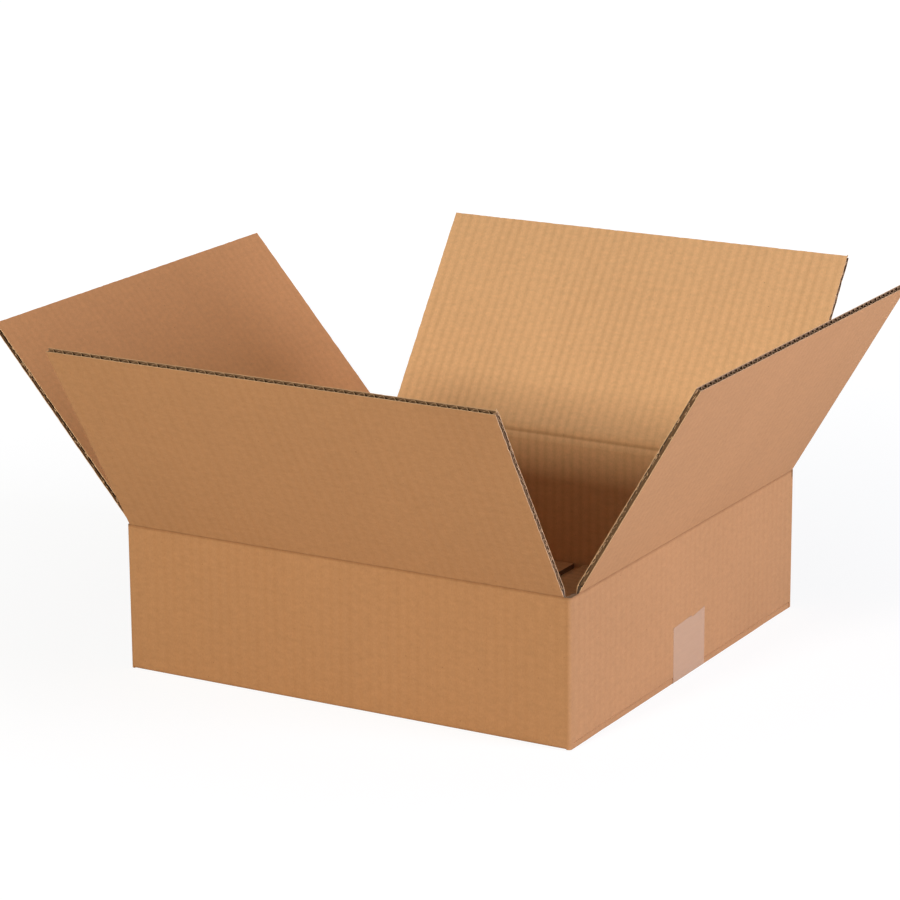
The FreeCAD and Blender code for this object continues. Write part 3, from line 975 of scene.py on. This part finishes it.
class CARTON_OT_studio(bpy.types.Operator):
    """Set the floor, the soft lights, the white surroundings and the camera."""
    bl_idname = "carton.studio"
    bl_label = "Studio"

    def execute(self, context):
        scene = context.scene
        make_floor(scene)
        make_world(scene)
        settings = scene.studio_settings
        add_light("front_light", (-0.3, -3.2, 1.22), 0.5, settings.front_power, settings.warm)
        add_light("left_light", (-2.0, -2.4, 1.2), 1.0, settings.left_power, settings.warm)
        add_light("right_light", (2.7, 0.3, 0.35), 0.8, settings.right_power, settings.cool)
        add_light("upper_light", (2.0, 0.2, 1.15), 0.8, settings.upper_power, settings.cool)
        make_camera(scene)
        scene.view_settings.view_transform = "Standard"
        return {"FINISHED"}


def white_to_camera(tree, lit, white, share):
    """The lit shader for light that falls on things, and white, by its share, where it is seen."""
    ways = add_node(tree, "ShaderNodeLightPath").outputs
    seen = math_node(tree, "MAXIMUM", ways["Is Camera Ray"], ways["Is Glossy Ray"])
    seen = math_node(tree, "MAXIMUM", seen, ways["Is Transmission Ray"])
    seen = math_node(tree, "MULTIPLY", seen, share)
    mix = tree.nodes.new("ShaderNodeMixShader")
    tree.links.new(seen, mix.inputs[0])
    tree.links.new(lit, mix.inputs[1])
    tree.links.new(white, mix.inputs[2])
    return mix.outputs[0]


def make_floor(scene):
    """A wide pale floor just under the carton."""
    mesh = bpy.data.meshes.new("floor")
    settings = scene.studio_settings
    size, drop = 30, -0.2 * MM
    mesh.from_pydata([(-size, -size, drop), (size, -size, drop), (size, size, drop), (-size, size, drop)],
                     [], [(0, 1, 2, 3)])
    made, tree, shader = new_material("pale_floor")
    shader.inputs["Base Color"].default_value = (*[settings.floor_tone] * 3, 1)
    shader.inputs["Roughness"].default_value = 0.9
    shader.inputs["Specular IOR Level"].default_value = 0.0
    place = add_node(tree, "ShaderNodeTexCoord").outputs["Object"]
    away = add_node(tree, "ShaderNodeVectorMath", operation="LENGTH", i0=place).outputs["Value"]
    fade = ranged(tree, away, 0.3, 1.3, settings.near_white, settings.far_white)
    white = add_node(tree, "ShaderNodeEmission", Strength=fade)
    output = next(n for n in tree.nodes if n.bl_idname == "ShaderNodeOutputMaterial")
    # The rest of the floor's share stays lit, so the carton's shadow still shows
    seen = white_to_camera(tree, shader.outputs[0], white.outputs[0], settings.floor_white)
    tree.links.new(seen, output.inputs["Surface"])
    mesh.materials.append(made)
    floor = bpy.data.objects.new("floor", mesh)
    scene.collection.objects.link(floor)


def make_world(scene):
    """An even pale sky, pure white where the camera sees it."""
    world = bpy.data.worlds.new("surroundings")
    scene.world = world
    world.use_nodes = True
    tree = world.node_tree
    tree.nodes.clear()
    sky = add_node(tree, "ShaderNodeBackground", Color=(1.0, 0.99, 0.98, 1),
                   Strength=scene.studio_settings.sky)
    white = add_node(tree, "ShaderNodeBackground", Color=(1, 1, 1, 1), Strength=1.0)
    output = tree.nodes.new("ShaderNodeOutputWorld")
    tree.links.new(white_to_camera(tree, sky.outputs[0], white.outputs[0], 1.0), output.inputs[0])


def add_light(name, place, size, power, tint):
    """A square soft box at place that faces the carton."""
    data = bpy.data.lights.new(name, "AREA")
    data.shape = "SQUARE"
    data.size = size
    data.energy = power
    data.color = tint
    light = bpy.data.objects.new(name, data)
    light.location = place
    aim = Vector((0, 0, fold_height()))
    light.rotation_euler = (aim - Vector(place)).to_track_quat("-Z", "Y").to_euler()
    bpy.context.scene.collection.objects.link(light)


def make_camera(scene):
    """The camera, at the photograph's angle."""
    settings = scene.studio_settings
    turn, drop, roll = settings.turn, settings.drop, settings.roll
    ahead = Vector((-math.sin(turn) * math.cos(drop), math.cos(turn) * math.cos(drop), -math.sin(drop)))
    right = Vector((math.cos(turn), math.sin(turn), 0))
    up = right.cross(ahead)
    rolled_right = right * math.cos(roll) + up * math.sin(roll)
    rolled_up = up * math.cos(roll) - right * math.sin(roll)
    data = bpy.data.cameras.new("camera")
    data.lens = settings.lens
    data.sensor_width = 36
    data.clip_end = 100
    camera = bpy.data.objects.new("camera", data)
    aim = right * settings.aside + UP * settings.aim_height
    place = Matrix((rolled_right, rolled_up, -ahead)).transposed().to_4x4()
    place.translation = aim - ahead * settings.distance
    camera.matrix_world = place
    scene.collection.objects.link(camera)
    scene.camera = camera


class CARTON_PT_panel(bpy.types.Panel):
    """Lists the carton's operators and settings."""
    bl_idname = "CARTON_PT_panel"
    bl_label = "Carton"
    bl_space_type = "VIEW_3D"
    bl_region_type = "UI"
    bl_category = "Carton"

    def draw(self, context):
        for operator in OPERATORS:
            self.layout.operator(operator.bl_idname)
        for group in (context.scene.carton_sizes, context.scene.carton_colours,
                      context.scene.studio_settings):
            for name in group.bl_rna.properties.keys():
                if name not in ("rna_type", "name"):
                    self.layout.prop(group, name)


OPERATORS = (CARTON_OT_body, CARTON_OT_flaps, CARTON_OT_folds, CARTON_OT_tape, CARTON_OT_studio)
CLASSES = (CartonSizes, CartonColours, StudioSettings, *OPERATORS, CARTON_PT_panel)


def register():
    for cls in CLASSES:
        bpy.utils.register_class(cls)
    bpy.types.Scene.carton_sizes = PointerProperty(type=CartonSizes)
    bpy.types.Scene.carton_colours = PointerProperty(type=CartonColours)
    bpy.types.Scene.studio_settings = PointerProperty(type=StudioSettings)


def unregister():
    del bpy.types.Scene.studio_settings
    del bpy.types.Scene.carton_colours
    del bpy.types.Scene.carton_sizes
    for cls in reversed(CLASSES):
        bpy.utils.unregister_class(cls)


def main():
    """Build every piece in order."""
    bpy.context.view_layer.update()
    register()
    bpy.ops.carton.body()
    bpy.ops.carton.flaps()
    bpy.ops.carton.folds()
    bpy.ops.carton.tape()
    bpy.ops.carton.studio()


if __name__ == "__main__":
    main()
